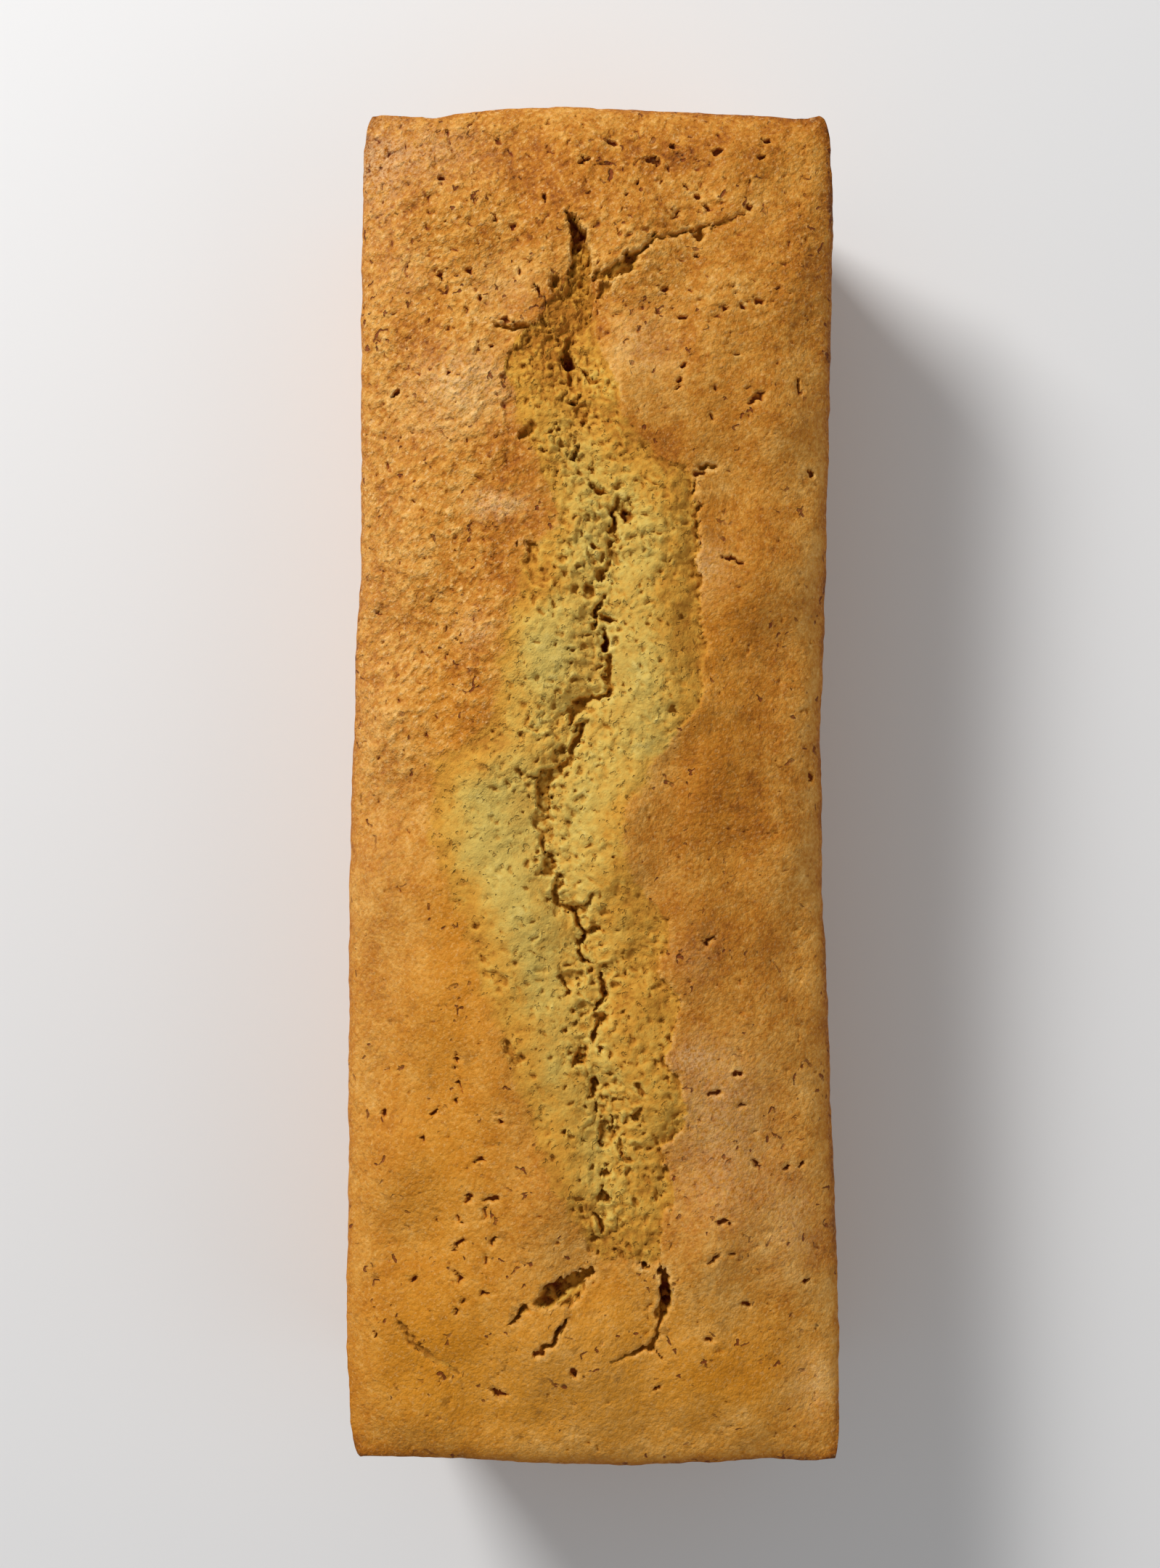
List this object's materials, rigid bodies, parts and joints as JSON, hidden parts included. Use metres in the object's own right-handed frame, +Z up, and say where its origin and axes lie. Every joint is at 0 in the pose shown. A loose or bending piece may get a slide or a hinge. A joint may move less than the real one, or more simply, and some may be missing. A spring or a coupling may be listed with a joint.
{
  "type": "castella sponge loaf cake",
  "caption": "Uncut golden sponge cake baked in a loaf tin, with leaning sides, a flat base and a domed crown split lengthwise by a burst of pale crumb.",
  "frame": {"origin": "centre of the flat base that the cake stands on", "axes": "+Y along the cake's length, +X across its width, +Z up out of the crown"},
  "size_m": [0.1052, 0.29, 0.0765],
  "materials": {
    "cake": null
  },
  "bodies": {
    "root": {"cake": "cake"}
  },
  "joints": []
}
